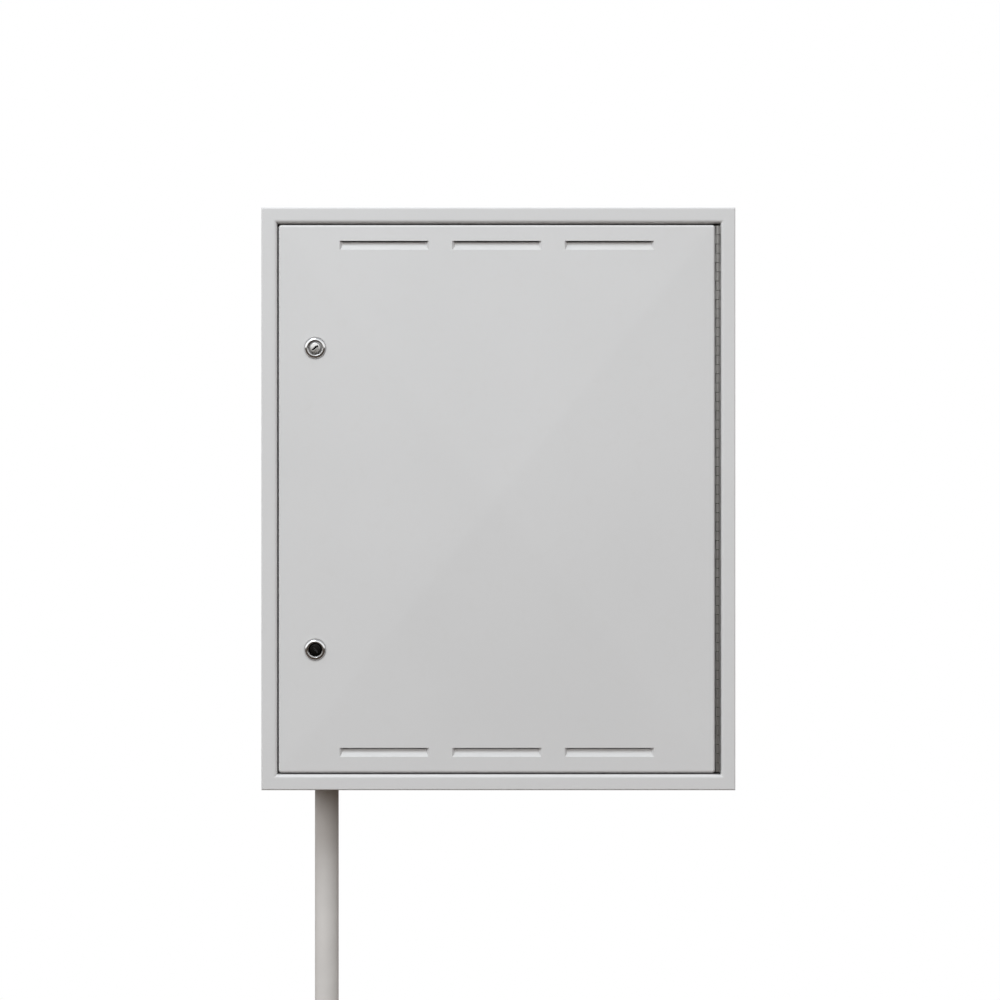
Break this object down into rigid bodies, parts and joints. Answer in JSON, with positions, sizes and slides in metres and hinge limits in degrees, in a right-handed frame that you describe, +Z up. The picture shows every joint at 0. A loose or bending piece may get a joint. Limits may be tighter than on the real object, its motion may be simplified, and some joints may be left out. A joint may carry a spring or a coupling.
{
  "type": "fiber termination box",
  "caption": "Wall-mounted steel fibre termination cabinet: louvred, locking door on a long side hinge, with hinged splice trays, adapters and slack spools inside and a conduit below.",
  "frame": {"origin": "on the wall plane, at the centre of the four wall fixings", "axes": "+X right as seen from the front, +Y into the wall (the door faces -Y), +Z up"},
  "size_m": [0.484, 0.153, 0.91],
  "materials": {
    "case_paint": "satin powder coat, fine orange peel",
    "seal_foam": "closed-cell foam",
    "hinge_steel": "bright rolled stainless steel",
    "rivet_alloy": "plain",
    "entry_nylon": "moulded nylon",
    "conduit_pvc": "smooth extruded",
    "zinc_sheet": "galvanised",
    "zinc_fixings": "zinc plated",
    "spacer_nylon": "natural nylon",
    "earth_brass": "plain",
    "rod_steel": "ground",
    "adapter_plastic": "moulded",
    "cap_plastic": "moulded",
    "spool_plastic": "moulded",
    "lock_chrome": "polished",
    "plug_chrome": "polished",
    "plug_black": "black zinc",
    "cam_zinc": "zinc plated",
    "tray_plastic": "moulded",
    "comb_rubber": "soft moulded",
    "cover_plastic": "clear moulded"
  },
  "bodies": {
    "enclosure": {"back_pan": "case_paint", "front_frame": "case_paint", "door_seal": "seal_foam", "hinge_frame_leaf": "hinge_steel", "hinge_frame_rivets": "rivet_alloy", "hinge_pin": "hinge_steel", "entry_bush": "entry_nylon", "bush_nut": "entry_nylon", "conduit": "conduit_pvc", "conduit_coupler": "conduit_pvc", "blanking_plugs": "entry_nylon", "mounting_plate": "zinc_sheet", "plate_studs": "zinc_fixings", "plate_spacers": "spacer_nylon", "plate_nuts": "zinc_fixings", "earth_stud": "earth_brass", "earth_nuts": "earth_brass", "tray_bracket": "zinc_sheet", "tray_bracket_screws": "zinc_fixings", "rear_tray_rod": "rod_steel", "adapter_shelf": "zinc_sheet", "shelf_screws": "zinc_fixings", "fibre_adapters": "adapter_plastic", "dust_caps": "cap_plastic", "slack_spools": "spool_plastic", "spool_screws": "zinc_fixings", "anchor_bar": "zinc_sheet", "anchor_screws": "zinc_fixings"},
    "door": {"door_panel": "case_paint", "hinge_door_leaf": "hinge_steel", "hinge_door_rivets": "rivet_alloy", "upper_lock_housing": "lock_chrome", "upper_lock_nut": "zinc_fixings", "lower_lock_housing": "lock_chrome", "lower_lock_nut": "zinc_fixings"},
    "upper_lock": {"upper_lock_plug": "plug_chrome", "upper_lock_cam": "cam_zinc", "upper_cam_bolt": "cam_zinc"},
    "lower_lock": {"lower_lock_plug": "plug_black", "lower_lock_cam": "cam_zinc", "lower_cam_bolt": "cam_zinc"},
    "rear_tray": {"rear_splice_tray": "tray_plastic", "rear_splice_comb": "comb_rubber", "front_tray_rod": "rod_steel"},
    "front_tray": {"front_splice_tray": "tray_plastic", "front_splice_comb": "comb_rubber", "tray_cover": "cover_plastic"}
  },
  "joints": [
    {"name": "door_swing", "type": "hinge", "parent": "enclosure", "child": "door", "pos_m": [0.22425, -0.148, 0], "axis": [0, 0, 1], "range_deg": [0, 115]},
    {"name": "upper_lock_turn", "type": "hinge", "parent": "door", "child": "upper_lock", "pos_m": [-0.187, -0.135, 0.154], "axis": [0, 1, 0], "range_deg": [0, 90]},
    {"name": "lower_lock_turn", "type": "hinge", "parent": "door", "child": "lower_lock", "pos_m": [-0.187, -0.135, -0.154], "axis": [0, 1, 0], "range_deg": [0, 90]},
    {"name": "tray_stack_tilt", "type": "hinge", "parent": "enclosure", "child": "rear_tray", "pos_m": [0, -0.024, 0.066], "axis": [1, 0, 0], "range_deg": [0, 55]},
    {"name": "front_tray_flip", "type": "hinge", "parent": "rear_tray", "child": "front_tray", "pos_m": [0, -0.043, 0.066], "axis": [1, 0, 0], "range_deg": [0, 50]}
  ]
}
